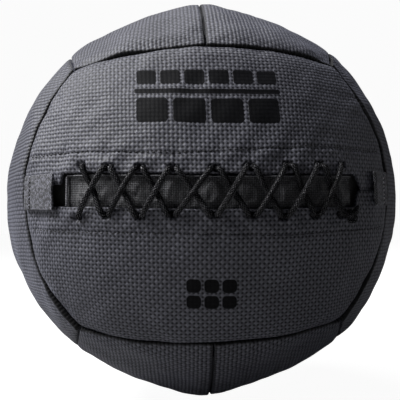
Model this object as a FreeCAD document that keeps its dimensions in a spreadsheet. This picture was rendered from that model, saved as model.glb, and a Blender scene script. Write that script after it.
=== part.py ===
"""Soft medicine ball (wall ball): twelve woven panels over a padded core, closed by a laced front opening.

Frame: origin at the ball's centre, +Z up, +X to the ball's right, and the laced opening faces -Y. Millimetres.

Each of the six faces is a pair of half panels that meet in a central seam. Seen across its seam, a face is an
arc; it slopes straight away on both sides of the seam, so its block is the arc's profile extruded at a slant.
The ball is what all the blocks have in common, and every inner layer is a smaller copy about its centre.
"""
import FreeCAD, Part, Sketcher
import math
import os

from FreeCAD import Placement, Rotation, Vector

SIZES = {
    "ball_radius": 175.0,
    # For each kind of face: how far its arc's centre sits from the ball's centre, and its half panels' slope
    "front_setback": 1.0,
    "front_slope": 0.371,
    "top_setback": 4.7,
    "top_slope": 0.395,
    "side_setback": 11.2,
    "side_slope": 0.325,
    "profile_arc": 130.0,
    "shell_thick": 1.6,
    "seam_gap": 0.3,
    # Laced opening across the front
    "opening_height": 23.3,
    "opening_span": 112.0,
    "slot_width": 11.4,
    "slot_height": 6.2,
    "slot_reach": 17.4,
    "slot_pitch": 8.55,
    "lace_radius": 2.0,
    "lace_turn": 3.0,
    "lace_clearance": 0.7,
    "lace_past_lip": 0.8,
    "lace_bend": 2.3,
    "knot_radius": 3.4,
    "knot_offset": 3.2,
    "knot_drop": 2.0,
    "tongue_depth": 6.0,
    "tongue_thick": 1.2,
    "tongue_height": 29.0,
    "tongue_span": 77.0,
    "hem_depth": 1.8,
    "hem_thick": 1.2,
    "hem_width": 18.8,
    "hem_start": 12.2,
    "hem_span": 100.0,
    "stitch_reach": 28.6,
    "stitch_span": 104.0,
    "thread_radius": 0.35,
    "thread_lift": 0.45,
    # Webbing tabs over the two ends of the opening
    "tab_depth": 2.3,
    "tab_thick": 1.6,
    "tab_height": 24.5,
    "tab_seam": 58.0,
    "tab_slit": 0.2,
    "left_tab_fold": 50.0,
    "left_tab_end": 42.5,
    "right_tab_fold": 51.0,
    "right_tab_end": 47.0,
    "tab_thread_height": 22.0,
    "tab_thread_offset": 1.2,
    # Tapes that bind the closed seams from inside
    "tape_depth": 2.0,
    "tape_thick": 0.8,
    "tape_width": 16.0,
    "tape_span": 90.0,
    # Layers inside the shell
    "foam_depth": 9.0,
    "foam_thick": 14.0,
    "foam_gap": 0.8,
    "liner_depth": 23.6,
    "liner_thick": 0.6,
    "liner_mouth": 24.0,
    "filling_depth": 24.6,
    "filling_gap": 0.4,
    "core_radius": 52.0,
    "core_wall": 1.0,
    "core_clearance": 0.5,
    "neck_radius": 9.0,
    "neck_length": 16.0,
    "tie_radius": 1.5,
}
SLOTS = 9
X, Y, Z = Vector(1, 0, 0), Vector(0, 1, 0), Vector(0, 0, 1)
FACES = {
    "front": {"outward": -Y, "seam": X, "halves": {"upper": Z, "lower": -Z}, "kind": "front"},
    "back": {"outward": Y, "seam": X, "halves": {"upper": Z, "lower": -Z}, "kind": "front"},
    "top": {"outward": Z, "seam": Y, "halves": {"left": -X, "right": X}, "kind": "top"},
    "bottom": {"outward": -Z, "seam": Y, "halves": {"left": -X, "right": X}, "kind": "top"},
    "left": {"outward": -X, "seam": Z, "halves": {"front": -Y, "back": Y}, "kind": "side"},
    "right": {"outward": X, "seam": Z, "halves": {"front": -Y, "back": Y}, "kind": "side"},
}
BEYOND = 1.05  # helper solids reach this many ball radii, so that they always pass the ball's surface
LONGEST_RUN = 0.49  # a rounded corner may take this share of the straight runs beside it

document = FreeCAD.newDocument("medicine_ball")
subparts = []


def fill_sheet():
    """Writes every size into the spreadsheet that the document's expressions read."""
    sheet = document.addObject("Spreadsheet::Sheet", "sizes")
    for row, (alias, value) in enumerate(SIZES.items(), start=1):
        sheet.set(f"A{row}", alias)
        sheet.set(f"B{row}", str(value))
        sheet.setAlias(f"B{row}", alias)
    document.recompute()


def add(kind, name, bound=None, placement=None, **properties):
    """One document object: plain properties, then properties bound to the sheet, then its placement."""
    made = document.addObject(kind, name)
    for prop, value in properties.items():
        setattr(made, prop, value)
    for prop, expression in (bound or {}).items():
        made.setExpression(prop, expression)
    if placement:
        made.Placement = placement
    return made


def subpart(made, label):
    """Names a finished piece and keeps it for the checks and the export."""
    made.Label = label
    subparts.append(made)


def cut(name, base, tool):
    return add("Part::Cut", name, Base=base, Tool=tool)


def common(name, *shapes):
    return add("Part::MultiCommon", name, Shapes=list(shapes))


def fuse(name, *shapes):
    return add("Part::MultiFuse", name, Shapes=list(shapes))


def shrunk(name, base, depth):
    """The same solid scaled about the ball's centre, so that its surface lies depth further in."""
    scale = {"UniformScale": f"1 - ({depth}) / sizes.ball_radius"}
    return add("Part::Scale", name, scale, Base=base, Uniform=True)


def layer(name, base, depth, thick):
    """The rind of a solid between two depths."""
    outer = shrunk(f"{name}_outside", base, depth)
    inner = shrunk(f"{name}_inside", base, f"{depth} + {thick}")
    return cut(f"{name}_layer", outer, inner)


def face_profile(face):
    """Closed sketch of a face's arc, its two tangents, and the chord through the ball's centre."""
    shape = FACES[face]
    setback, radius = SIZES[shape["kind"] + "_setback"], SIZES["ball_radius"]
    half_arc = math.radians(SIZES["profile_arc"] / 2)
    arc_radius = radius - setback
    tip = Vector(setback + arc_radius * math.cos(half_arc), arc_radius * math.sin(half_arc), 0)
    chord = Vector(0, tip.y + tip.x / math.tan(half_arc), 0)
    mirrored_tip, mirrored_chord = Vector(tip.x, -tip.y, 0), Vector(0, -chord.y, 0)
    sketch = add("Sketcher::SketchObject", f"{face}_profile")
    circle = Part.Circle(Vector(setback, 0, 0), Z, arc_radius)
    arc = sketch.addGeometry(Part.ArcOfCircle(circle, -half_arc, half_arc))
    upper = sketch.addGeometry(Part.LineSegment(tip, chord))
    back = sketch.addGeometry(Part.LineSegment(chord, mirrored_chord))
    lower = sketch.addGeometry(Part.LineSegment(mirrored_chord, mirrored_tip))
    start, end, centre, horizontal, vertical = 1, 2, 3, -1, -2
    sized = [
        ("setback", f"sizes.{shape['kind']}_setback",
         Sketcher.Constraint("DistanceX", horizontal, start, arc, centre, setback)),
        ("arc_radius", f"sizes.ball_radius - sizes.{shape['kind']}_setback",
         Sketcher.Constraint("Radius", arc, arc_radius)),
        ("arc_angle", "sizes.profile_arc * 1 deg", Sketcher.Constraint("Angle", arc, 2 * half_arc)),
    ]
    sketch.addConstraint([
        Sketcher.Constraint("Tangent", arc, end, upper, start),
        Sketcher.Constraint("Coincident", upper, end, back, start),
        Sketcher.Constraint("Coincident", back, end, lower, start),
        Sketcher.Constraint("Tangent", lower, end, arc, start),
        Sketcher.Constraint("PointOnObject", arc, centre, horizontal),
        Sketcher.Constraint("PointOnObject", upper, end, vertical),
        Sketcher.Constraint("PointOnObject", lower, start, vertical),
        Sketcher.Constraint("Symmetric", arc, start, arc, end, horizontal),
    ])
    for name, expression, constraint in sized:
        sketch.renameConstraint(sketch.addConstraint(constraint), name)
        sketch.setExpression(f"Constraints.{name}", expression)
    outward, seam = shape["outward"], shape["seam"]
    sketch.Placement = Placement(Vector(), Rotation(outward, seam, outward.cross(seam), "ZXY"))
    return sketch


def make_blocks():
    """The slanted block behind each of the twelve half panels."""
    blocks = {}
    for face, shape in FACES.items():
        profile = face_profile(face)
        slope = SIZES[shape["kind"] + "_slope"]
        for half, across in shape["halves"].items():
            name = f"{face}_{half}"
            blocks[name] = add(
                "Part::Extrusion", f"{name}_block",
                {"LengthFwd": f"{BEYOND} * sizes.ball_radius * sqrt(1 + sizes.{shape['kind']}_slope ^ 2)"},
                Base=profile, DirMode="Custom", Dir=across - shape["outward"] * slope, Solid=True)
    return blocks


def make_pair_solids(blocks):
    """For each pair of opposite faces, the solid that both faces bound."""
    pairs = {}
    for kind in ("front", "top", "side"):
        halves = [block for name, block in blocks.items() if FACES[name.split("_")[0]]["kind"] == kind]
        pairs[kind] = fuse(f"{kind}_pair", *halves)
    return pairs


def slab(name, normal, thickness):
    """A thin slab across the whole ball, centred on the origin and square to one axis."""
    made = add("Part::Box", name)
    for side, letter, axis in (("Length", "x", X), ("Width", "y", Y), ("Height", "z", Z)):
        size = thickness if axis == normal else f"2 * {BEYOND} * sizes.ball_radius"
        made.setExpression(side, size)
        made.setExpression(f"Placement.Base.{letter}", f"-({size}) / 2")
    return made


def sector(name, face, middle, sweep, start, height):
    """A pie slice in the plane of a face's seam: its middle azimuth, its sweep and where its height starts."""
    outward, seam = FACES[face]["outward"], FACES[face]["seam"]
    across = outward.cross(seam)
    made = add("Part::Cylinder", name, {
        "Radius": f"{BEYOND} * sizes.ball_radius", "Height": height, "Angle": f"({sweep}) * 1 deg"})
    square = Rotation(outward, seam, across, "ZXY")
    turn = sheet_value(f"({middle}) - ({sweep}) / 2")
    made.Placement = Placement(across * sheet_value(start), square.multiply(Rotation(Z, turn)))
    return made


def sheet_value(expression):
    """The number that an expression works out to, for placements that need a rotation."""
    return float(document.getObject("sizes").evalExpression(expression.replace("sizes.", "")))


def make_panels(blocks, pairs):
    """Twelve half panels. The side ones lap over the ends of the others, and the top ones over the front ones."""
    step = "sizes.shell_thick + sizes.seam_gap"
    top_within = shrunk("top_within", pairs["top"], step)
    side_within = shrunk("side_within", pairs["side"], step)
    room = {
        "front": common("front_room", top_within, side_within),
        "top": common("top_room", pairs["front"], side_within),
        "side": common("side_room", pairs["front"], pairs["top"]),
    }
    splits = {
        "front": slab("front_split", Z, "sizes.seam_gap"),
        "top": slab("top_split", X, "sizes.seam_gap"),
        "side": slab("side_split", Y, "sizes.seam_gap"),
    }
    opening = sector("opening", "front", "0", "sizes.opening_span", "-sizes.opening_height / 2",
                     "sizes.opening_height")
    for name, block in blocks.items():
        face, half = name.split("_")
        kind = FACES[face]["kind"]
        rind = layer(name, block, "0", "sizes.shell_thick")
        panel = common(f"{name}_patch", rind, room[kind])
        panel = cut(f"{name}_half", panel, splits[kind])
        if face == "front":
            panel = cut(f"{name}_lip", panel, opening)
            panel = cut(f"{name}_panel", panel, lace_slots(half))
        subpart(panel, f"{name}_panel")


def slot_azimuths():
    """Where each lip's slots sit, in degrees from the middle of the face."""
    return [(index - (SLOTS - 1) / 2) * SIZES["slot_pitch"] for index in range(SLOTS)]


def lace_slots(half):
    """Nine slots through one lip of the opening, each wide enough for the lace to go in and out."""
    if document.getObject(f"{half}_slots"):
        return document.getObject(f"{half}_slots")
    side = 1 if half == "upper" else -1
    arc_centre = Y * (SIZES["front_slope"] * SIZES["slot_reach"] - SIZES["front_setback"])
    boxes = []
    for index, azimuth in enumerate(slot_azimuths(), start=1):
        box = add("Part::Box", f"{half}_slot_{index}",
                  {"Length": "sizes.slot_width", "Height": "sizes.slot_height", "Width": "sizes.ball_radius / 2"})
        turn = Rotation(Z, azimuth)
        corner = Vector(-SIZES["slot_width"] / 2, -BEYOND * SIZES["ball_radius"],
                        side * SIZES["slot_reach"] - SIZES["slot_height"] / 2)
        box.Placement = Placement(arc_centre + turn.multVec(corner), turn)
        boxes.append(box)
    return fuse(f"{half}_slots", *boxes)


def make_opening(blocks, pairs):
    """The tongue behind the opening, the webbing behind its lips, and the stitching that holds the webbing."""
    band = sector("tongue_band", "front", "0", "sizes.tongue_span", "-sizes.tongue_height / 2",
                  "sizes.tongue_height")
    behind = layer("tongue", pairs["front"], "sizes.tongue_depth", "sizes.tongue_thick")
    subpart(common("lacing_tongue", behind, band), "lacing_tongue")
    starts = {"upper": "sizes.hem_start", "lower": "-sizes.hem_start - sizes.hem_width"}
    for half, start in starts.items():
        strip = sector(f"{half}_hem_band", "front", "0", "sizes.hem_span", start, "sizes.hem_width")
        under = layer(f"{half}_hem", blocks[f"front_{half}"], "sizes.hem_depth", "sizes.hem_thick")
        webbing = common(f"{half}_hem_strip", under, strip)
        subpart(cut(f"{half}_hem_webbing", webbing, lace_slots(half)), f"{half}_hem_webbing")
        side = 1 if half == "upper" else -1
        stitch = add("Part::Torus", f"{half}_hem_stitch", {
            "Radius1": "sizes.ball_radius - sizes.front_setback + sizes.thread_lift",
            "Radius2": "sizes.thread_radius", "Angle3": "sizes.stitch_span * 1 deg"})
        stitch.Placement = Placement(Vector(), Rotation(Z, -90 - SIZES["stitch_span"] / 2))
        stitch.setExpression("Placement.Base.y", "sizes.front_slope * sizes.stitch_reach - sizes.front_setback")
        stitch.setExpression("Placement.Base.z", f"{side} * sizes.stitch_reach")
        subpart(stitch, f"{half}_hem_stitch")


def make_tabs(pairs):
    """A webbing tab at each end of the opening: sewn down at the side seam, free at its inner end."""
    strap_outer = add("Part::Cylinder", "strap_outside", {
        "Radius": "sizes.ball_radius - sizes.tab_depth + sizes.tab_thick", "Height": "sizes.tab_height"})
    strap_inner = add("Part::Cylinder", "strap_inside", {
        "Radius": "sizes.ball_radius - sizes.tab_depth", "Height": "sizes.tab_height"})
    for ring in (strap_outer, strap_inner):
        ring.setExpression("Placement.Base.z", "-sizes.tab_height / 2")
    ring = cut("strap_ring", strap_outer, strap_inner)
    within = shrunk("tab_room", pairs["side"], "sizes.shell_thick + sizes.seam_gap")
    for side, sign in (("left", -1), ("right", 1)):
        fold, end = f"sizes.{side}_tab_fold", f"sizes.{side}_tab_end"
        spans = {
            "base": (f"{fold} + sizes.tab_slit", "sizes.tab_seam"),
            "flap": (end, f"{fold} - sizes.tab_slit"),
        }
        for piece, (near, far) in spans.items():
            band = sector(f"{side}_tab_{piece}_band", "front", f"{sign} * ({near} + {far}) / 2",
                          f"{far} - ({near})", "-sizes.tab_height / 2", "sizes.tab_height")
            made = common(f"{side}_tab_{piece}", ring, band, within)
            subpart(made, f"{side}_tab_{piece}")
        azimuth = math.radians(SIZES[f"{side}_tab_fold"] + SIZES["tab_thread_offset"])
        radius = SIZES["ball_radius"] - SIZES["tab_depth"] + SIZES["tab_thick"] + SIZES["thread_lift"]
        thread = add("Part::Cylinder", f"{side}_tab_stitch", {
            "Radius": "sizes.thread_radius", "Height": "sizes.tab_thread_height"})
        foot = Vector(sign * radius * math.sin(azimuth), -radius * math.cos(azimuth), 0)
        thread.Placement = Placement(foot, Rotation())
        thread.setExpression("Placement.Base.z", "-sizes.tab_thread_height / 2")
        subpart(thread, f"{side}_tab_stitch")


def front_point(azimuth, height, lift):
    """A point on the front face, lifted off it by lift: azimuth in degrees from the face's middle."""
    radius = SIZES["ball_radius"] - SIZES["front_setback"] + lift
    angle = math.radians(azimuth)
    forward = SIZES["front_setback"] + radius * math.cos(angle) - SIZES["front_slope"] * abs(height)
    return Vector(radius * math.sin(angle), -forward, height)


def lace_corners(first_side):
    """Corners of one zigzag strand with their bend radii. It turns under the webbing at every slot."""
    reach, edge = SIZES["slot_reach"], SIZES["opening_height"] / 2 + SIZES["lace_past_lip"]
    on_lip = SIZES["lace_radius"] + SIZES["lace_clearance"]
    under_webbing = -(SIZES["hem_depth"] + SIZES["hem_thick"] + on_lip)
    on_tongue = on_lip - SIZES["tongue_depth"]
    over_lace = on_tongue + SIZES["lace_radius"] + on_lip
    turn = math.degrees(SIZES["lace_turn"] / SIZES["ball_radius"])
    sharp, gentle = SIZES["lace_bend"], 3 * SIZES["lace_turn"]
    azimuths = slot_azimuths()
    side = first_side
    corners = [(front_point(azimuths[0] + turn, side * reach, under_webbing), sharp)]
    for here, there in zip(azimuths, azimuths[1:]):
        middle = over_lace if side < 0 else on_tongue
        leave, arrive = here + turn, there - turn
        corners.append((front_point(leave, side * reach, on_lip), sharp))
        for height, lift in ((side * edge, on_lip), (0, middle), (-side * edge, on_lip)):
            share = (side * reach - height) / (2 * side * reach)
            corners.append((front_point(leave + (arrive - leave) * share, height, lift), gentle))
        corners.append((front_point(arrive, -side * reach, on_lip), sharp))
        corners.append((front_point(arrive, -side * reach, under_webbing), sharp))
        corners.append((front_point(there + turn, -side * reach, under_webbing), sharp))
        side = -side
    return corners[:-1]


def rounded_wire(corners):
    """Straight runs joined by arcs: each corner is (point, bend radius), and the two ends stay sharp."""
    edges, start = [], corners[0][0]
    for (before, _), (corner, bend), (after, _) in zip(corners, corners[1:], corners[2:]):
        inward, outward = (before - corner).normalize(), (after - corner).normalize()
        half_angle = inward.getAngle(outward) / 2
        room = min((before - corner).Length, (after - corner).Length) * LONGEST_RUN
        run = min(bend / math.tan(half_angle), room)
        bisector = (inward + outward).normalize()
        depth = run / math.cos(half_angle) - run * math.tan(half_angle)
        first, last = corner + inward * run, corner + outward * run
        edges.append(Part.LineSegment(start, first).toShape())
        edges.append(Part.Arc(first, corner + bisector * depth, last).toShape())
        start = last
    edges.append(Part.LineSegment(start, corners[-1][0]).toShape())
    return Part.Wire(edges)


def make_lace():
    """Two zigzag strands swept along their paths, and the knot that ends them."""
    for name, first_side in (("lace_upper_start", 1), ("lace_lower_start", -1)):
        corners = lace_corners(first_side)
        path = add("Part::Feature", f"{name}_path", Shape=rounded_wire(corners))
        along = corners[1][0] - corners[0][0]
        circle = add("Part::Circle", f"{name}_section", {"Radius": "sizes.lace_radius"},
                     Placement(corners[0][0], Rotation(Z, along)))
        strand = add("Part::Sweep", name, Sections=[circle], Spine=path, Solid=True)
        subpart(strand, name)
    knot = add("Part::Torus", "lace_knot", {"Radius1": "sizes.knot_radius", "Radius2": "sizes.lace_radius"})
    azimuth = slot_azimuths()[-1] + SIZES["knot_offset"]
    outward = Rotation(Z, azimuth).multVec(-Y) - Z * SIZES["front_slope"]
    centre = front_point(azimuth, -SIZES["slot_reach"] - SIZES["knot_drop"],
                         SIZES["lace_radius"] + SIZES["lace_clearance"])
    knot.Placement = Placement(centre, Rotation(Z, outward))
    subpart(knot, "lace_knot")


def make_seam_tapes(pairs):
    """A tape under each of the five central seams that are sewn shut."""
    for face, shape in FACES.items():
        if face == "front":
            continue
        band = sector(f"{face}_tape_band", face, "0", "sizes.tape_span", "-sizes.tape_width / 2",
                      "sizes.tape_width")
        under = layer(f"{face}_tape", pairs[shape["kind"]], "sizes.tape_depth", "sizes.tape_thick")
        subpart(common(f"{face}_seam_tape", under, band), f"{face}_seam_tape")


def pyramid(face):
    """A square pyramid from just outside the ball's centre out through one face, blunt at its apex."""
    outward, seam = FACES[face]["outward"], FACES[face]["seam"]
    reach, blunt = f"{BEYOND} * sizes.ball_radius", "sizes.foam_gap / 2"
    made = add("Part::Wedge", f"{face}_pyramid", {
        "Xmin": f"-{blunt}", "Xmax": blunt, "Zmin": f"-{blunt}", "Zmax": blunt, "Ymin": "0 mm", "Ymax": reach,
        "X2min": f"-{reach}", "X2max": reach, "Z2min": f"-{reach}", "Z2max": reach})
    apex = outward * 2 * SIZES["foam_gap"]
    made.Placement = Placement(apex, Rotation(seam, outward, seam.cross(outward), "ZXY"))
    return made


def make_inside(pairs):
    """Six foam pads, the liner bag, two halves of fibre filling and the weighted core."""
    envelope = common("ball_envelope", pairs["front"], pairs["top"], pairs["side"])
    foam = layer("foam", envelope, "sizes.foam_depth", "sizes.foam_thick")
    for face in FACES:
        subpart(common(f"{face}_foam_pad", foam, pyramid(face)), f"{face}_foam_pad")
    liner = layer("liner", envelope, "sizes.liner_depth", "sizes.liner_thick")
    mouth = sector("liner_mouth", "front", "0", "sizes.tongue_span", "-sizes.liner_mouth / 2",
                   "sizes.liner_mouth")
    subpart(cut("liner_bag", liner, mouth), "liner_bag")
    make_filling(envelope)
    make_core()


def make_filling(envelope):
    """Fibre filling in an upper and a lower half, with a hollow for the core and its neck."""
    hollow = fuse(
        "core_hollow",
        add("Part::Sphere", "hollow_ball", {"Radius": "sizes.core_radius + sizes.core_clearance"}),
        add("Part::Cylinder", "hollow_neck", {
            "Radius": "sizes.neck_radius + 2 * sizes.tie_radius + 2 * sizes.core_clearance",
            "Height": "sizes.core_radius + sizes.neck_length + sizes.core_clearance"}))
    wad = cut("wad_with_hollow", shrunk("wad", envelope, "sizes.filling_depth"), hollow)
    reach = f"{BEYOND} * sizes.ball_radius"
    starts = {"upper": "sizes.filling_gap / 2", "lower": f"-{reach} - sizes.filling_gap / 2"}
    for half, base in starts.items():
        box = add("Part::Box", f"{half}_filling_box", {
            "Length": f"2 * {reach}", "Width": f"2 * {reach}", "Height": reach})
        for letter, start in (("x", f"-{reach}"), ("y", f"-{reach}"), ("z", base)):
            box.setExpression(f"Placement.Base.{letter}", start)
        subpart(common(f"{half}_fibre_filling", wad, box), f"{half}_fibre_filling")


def make_core():
    """The core bag is a ball with an open neck, tied round with cord and filled with granules."""
    outside = fuse(
        "bag_outside",
        add("Part::Sphere", "bag_ball", {"Radius": "sizes.core_radius"}),
        add("Part::Cylinder", "bag_neck", {
            "Radius": "sizes.neck_radius", "Height": "sizes.core_radius + sizes.neck_length"}))
    inside = fuse(
        "bag_inside",
        add("Part::Sphere", "bag_ball_inside", {"Radius": "sizes.core_radius - sizes.core_wall"}),
        add("Part::Cylinder", "bag_neck_inside", {
            "Radius": "sizes.neck_radius - sizes.core_wall",
            "Height": "sizes.core_radius + 2 * sizes.neck_length"}))
    subpart(cut("core_bag", outside, inside), "core_bag")
    grains = add("Part::Sphere", "core_granules", {
        "Radius": "sizes.core_radius - sizes.core_wall - sizes.core_clearance"})
    subpart(grains, "core_granules")
    tie = add("Part::Torus", "core_tie", {
        "Radius1": "sizes.neck_radius + sizes.tie_radius + sizes.core_clearance / 2",
        "Radius2": "sizes.tie_radius"})
    tie.setExpression("Placement.Base.z", "sizes.core_radius + sizes.neck_length / 2")
    subpart(tie, "core_tie")


def check_document():
    """Stops if any object failed to rebuild or any sub-part isn't a sound solid."""
    for made in document.Objects:
        if {"Invalid", "Error"} & set(made.State):
            raise RuntimeError(f"{made.Name} failed to rebuild: {made.State}")
    for made in subparts:
        if made.Shape.isNull() or not made.Shape.isValid() or not made.Shape.Solids:
            raise RuntimeError(f"{made.Label} is not a valid solid")


def export_subparts():
    """One STEP file for each sub-part, named after it."""
    os.makedirs("parts", exist_ok=True)
    for made in subparts:
        made.Shape.exportStep(os.path.join("parts", f"{made.Label}.step"))


fill_sheet()
panel_blocks = make_blocks()
pair_solids = make_pair_solids(panel_blocks)
make_panels(panel_blocks, pair_solids)
make_opening(panel_blocks, pair_solids)
make_tabs(pair_solids)
make_lace()
make_seam_tapes(pair_solids)
make_inside(pair_solids)
document.recompute()
check_document()
export_subparts()
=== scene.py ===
import math

import bpy
import numpy as np
from mathutils import Matrix, Vector


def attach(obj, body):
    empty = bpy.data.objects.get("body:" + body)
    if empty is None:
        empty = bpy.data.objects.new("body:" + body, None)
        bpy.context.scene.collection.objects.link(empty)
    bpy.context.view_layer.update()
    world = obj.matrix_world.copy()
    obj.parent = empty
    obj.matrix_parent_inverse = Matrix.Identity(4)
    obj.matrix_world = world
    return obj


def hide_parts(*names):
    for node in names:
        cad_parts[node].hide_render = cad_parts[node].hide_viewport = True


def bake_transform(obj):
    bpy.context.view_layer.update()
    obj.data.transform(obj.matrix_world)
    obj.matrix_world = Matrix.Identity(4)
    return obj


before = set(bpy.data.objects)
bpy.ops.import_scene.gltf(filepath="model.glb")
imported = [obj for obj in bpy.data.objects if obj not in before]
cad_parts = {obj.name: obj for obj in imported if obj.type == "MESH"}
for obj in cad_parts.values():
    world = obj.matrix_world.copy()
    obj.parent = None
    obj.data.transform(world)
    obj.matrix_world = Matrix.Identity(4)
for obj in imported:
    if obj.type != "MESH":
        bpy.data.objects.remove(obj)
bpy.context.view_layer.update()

MM = 0.001
RADIUS = 175 * MM
X, Y, Z = np.eye(3)
FACES = {
    "front": (-Y, X, {"upper": Z, "lower": -Z}, "front"),
    "back": (Y, X, {"upper": Z, "lower": -Z}, "front"),
    "top": (Z, Y, {"left": -X, "right": X}, "top"),
    "bottom": (-Z, Y, {"left": -X, "right": X}, "top"),
    "left": (-X, Z, {"front": -Y, "back": Y}, "side"),
    "right": (X, Z, {"front": -Y, "back": Y}, "side"),
}
# For each kind of face: the turn (degrees) and reach (ball radii) of its seam's ends and of its outer edges'
# middles, the reach of the middle of its seam, how far its half panels are crowned (ball radii), and the
# powers that say how evenly the crown fills their depth and their length
SHAPES = {
    "front": {"end": (54.9, 0.996), "side": (39.3, 0.993), "apex": 0.99, "crown": 0.030, "fullness": (1.0, 3)},
    "top": {"end": (50.7, 0.993), "side": (41.5, 0.982), "apex": 1.0, "crown": 0.020, "fullness": (0.8, 6)},
    "side": {"end": (48.5, 0.982), "side": (35.1, 0.996), "apex": 1.015, "crown": 0.012, "fullness": (0.8, 6)},
}
CORNER = np.array([0.5834, 0.5673, 0.5762])
CENTRE_RISE = 0.031  # how far the left end of the front's seam has slipped up its edge arc
FRONT_SPAN = 2 * SHAPES["front"]["end"][0]
TONGUE_ENDS = (-37.6, 38.0)
WEAVE_PITCH = 3.1
SEAM_GAP = 0.45  # how far each panel's rolled edge stays from the middle of its seam, in mm
EDGE_ROLL = 1.5  # the radius of the rolled edges
# Each lace hole's azimuth in degrees and how far it is from the opening's middle line, in mm
HOLES = {
    "upper": ((-32.5, 16.8), (-24.6, 15.4), (-16.7, 15.0), (-8.9, 14.7), (0.5, 15.0), (8.6, 16.4), (18.0, 17.2),
              (26.5, 17.5), (33.8, 18.4)),
    "lower": ((-33.5, 20.2), (-25.0, 17.6), (-16.9, 17.8), (-9.2, 16.5), (0.2, 16.2), (9.0, 16.5), (16.6, 17.8),
              (25.1, 17.4), (33.5, 17.3)),
}
# The line of stitching behind each lip: azimuths and reaches
STITCH_LINES = {
    "upper": ((-50, 24.8), (-30, 26.6), (-10, 24.6), (6, 27.2), (15, 29.2), (24, 30.3), (53, 30.4)),
    "lower": ((-50, 30.0), (-38, 30.6), (-20, 29.4), (-3, 28.7), (20, 30.0), (38, 29.4), (53, 27.6)),
}
# The lips' reaches where the opening is widest, and the tongue's edges
LIPS = {"upper": 11.2, "lower": 12.6}
TONGUE_EDGES = (-13.2, 9.7)
TAB_HEIGHT = 26.0
TAB_THICKNESS = 1.5
HEM_ROLL = 1.3
SKIRT_DEPTH = 5 * MM
LACE_RADIUS = 2.2
KNOT_RADIUS = 1.6
PANEL_LENGTH, PANEL_DEPTH = 265, 95  # a half panel's usual size, in mm
ARC_MM = math.radians(1) * RADIUS / MM  # one degree along the ball


# -------------------- shape of the cover
def unit(vectors):
    return vectors / np.linalg.norm(vectors, axis=-1, keepdims=True)


def smooth(value, low=0.0, high=1.0):
    share = np.clip((np.asarray(value, float) - low) / (high - low), 0, 1)
    return share * share * (3 - 2 * share)


def arc(start, middle, end, share):
    """Points on the circle through three points, where the middle one is as far from both of the others."""
    a, b = start - middle, end - middle
    normal = np.cross(a, b)
    centre = middle + np.cross(a @ a * b - b @ b * a, normal) / (2 * normal @ normal)
    spoke, along = unit(middle - centre), unit(end - start)
    radius = np.linalg.norm(middle - centre)
    half_angle = math.acos(np.clip((end - centre) @ spoke / radius, -1, 1))
    angle = ((np.asarray(share, float) * 2 - 1) * half_angle)[..., None]
    return centre + radius * (np.cos(angle) * spoke + np.sin(angle) * along)


def surface(face, half, u, v):
    """The padded cover's own shape: u runs along the face's seam and v from the seam to the outer edge."""
    outward, seam, halves, kind = FACES[face]
    across, shape = halves[half], SHAPES[kind]
    end_turn, end_reach = math.radians(shape["end"][0]), shape["end"][1] * RADIUS
    side_turn, side_reach = math.radians(shape["side"][0]), shape["side"][1] * RADIUS
    ends = [end_reach * (outward * math.cos(end_turn) + sign * seam * math.sin(end_turn)) for sign in (-1, 1)]
    middle = side_reach * (outward * math.cos(side_turn) + across * math.sin(side_turn))
    near_corners = [RADIUS * CORNER * (outward + sign * seam + across) for sign in (-1, 1)]
    far_corners = [RADIUS * CORNER * (outward + sign * seam - across) for sign in (-1, 1)]
    starts = [0.5, 0.5]
    if face == "front":
        starts[0] += CENTRE_RISE * across[2]
    u, v = np.broadcast_arrays(np.asarray(u, float), np.asarray(v, float))
    near = arc(ends[0], outward * RADIUS * shape["apex"], ends[1], u)
    far = arc(near_corners[0], middle, near_corners[1], u)
    sides, side_starts, side_stops = [], [], []
    for end, far_corner, near_corner, start in zip(ends, far_corners, near_corners, starts):
        sides.append(arc(far_corner, end, near_corner, start + (1 - start) * v))
        side_starts.append(arc(far_corner, end, near_corner, np.array(start)))
        side_stops.append(near_corner)
    near = near + (1 - smooth(u, 0, 0.62))[..., None] * (side_starts[0] - ends[0])
    uu, vv = u[..., None], v[..., None]
    points = (1 - vv) * near + vv * far + (1 - uu) * sides[0] + uu * sides[1]
    points -= (1 - uu) * (1 - vv) * side_starts[0] + uu * (1 - vv) * side_starts[1]
    points -= (1 - uu) * vv * side_stops[0] + uu * vv * side_stops[1]
    depth_power, length_power = shape["fullness"]
    swell = np.clip(4 * v * (1 - v), 0, 1) ** depth_power * (1 - np.abs(2 * u - 1) ** length_power)
    return points + (shape["crown"] * RADIUS * swell)[..., None] * unit(points)


def surface_normal(face, half, u, v):
    outward = FACES[face][0]
    step = 0.004
    u, v = np.clip(u, step, 1 - step), np.clip(v, step, 1 - step)
    along = surface(face, half, u + step, v) - surface(face, half, u - step, v)
    across = surface(face, half, u, v + step) - surface(face, half, u, v - step)
    normal = unit(np.cross(along, across))
    return normal * np.sign(normal @ outward)[..., None]


def front_depths():
    """How long each column of a front half panel is, from its seam to its outer edge, in millimetres."""
    lengths = {}
    u = np.linspace(0, 1, 81)
    for half in ("upper", "lower"):
        points = surface("front", half, u[:, None], np.linspace(0, 1, 121)[None, :])
        lengths[half] = np.linalg.norm(np.diff(points, axis=1), axis=2).sum(1) / MM
    return u, lengths


COLUMN_U, COLUMN_LENGTH = front_depths()


def front_uv(half, azimuth, reach):
    u = np.clip(np.asarray(azimuth, float) / FRONT_SPAN + 0.5, 0, 1)
    return u, np.asarray(reach, float) / np.interp(u, COLUMN_U, COLUMN_LENGTH[half])


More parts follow.
